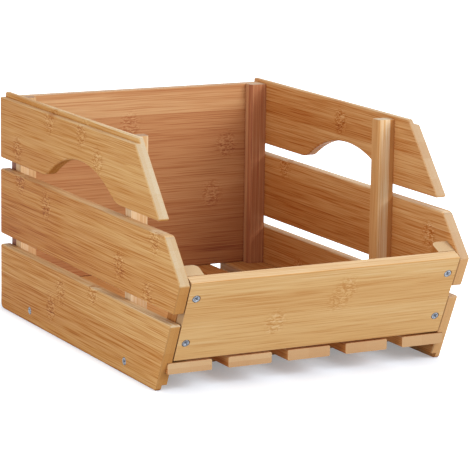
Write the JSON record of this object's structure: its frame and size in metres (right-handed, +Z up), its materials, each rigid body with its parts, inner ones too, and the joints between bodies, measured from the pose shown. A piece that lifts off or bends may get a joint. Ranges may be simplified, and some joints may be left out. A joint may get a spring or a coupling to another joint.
{
  "type": "bamboo storage box",
  "caption": "Slatted bamboo storage bin with a leaning front board, a low open front, hand holds and tongue-and-rabbet edges for stacking.",
  "frame": {"origin": "on the ground, in the middle of the box's overall width and depth", "axes": "+X to the right seen from the front, +Y to the back panel, +Z up; the open front faces -Y"},
  "size_m": [0.27, 0.3686, 0.2],
  "materials": {
    "bamboo_slats": "satin",
    "bamboo_posts": "satin",
    "bamboo_floor": "satin",
    "bamboo_panel": "satin",
    "bamboo_board": "satin",
    "dowel_wood": "matte",
    "zinc_steel": "satin"
  },
  "bodies": {
    "root": {"side_slat_left_lower": "bamboo_slats", "side_slat_left_middle": "bamboo_slats", "side_slat_left_top": "bamboo_slats", "side_slat_right_lower": "bamboo_slats", "side_slat_right_middle": "bamboo_slats", "side_slat_right_top": "bamboo_slats", "rear_post_left": "bamboo_posts", "rear_post_right": "bamboo_posts", "middle_post_left": "bamboo_posts", "middle_post_right": "bamboo_posts", "front_post_left": "bamboo_posts", "front_post_right": "bamboo_posts", "floor_slat_1": "bamboo_floor", "floor_slat_2": "bamboo_floor", "floor_slat_3": "bamboo_floor", "floor_slat_4": "bamboo_floor", "floor_slat_5": "bamboo_floor", "floor_batten_rear": "bamboo_floor", "floor_batten_front": "bamboo_floor", "back_panel": "bamboo_panel", "front_board": "bamboo_board", "slat_dowels": "dowel_wood", "front_board_screws": "zinc_steel", "back_panel_screws": "zinc_steel", "side_slat_screws": "zinc_steel"}
  },
  "joints": []
}
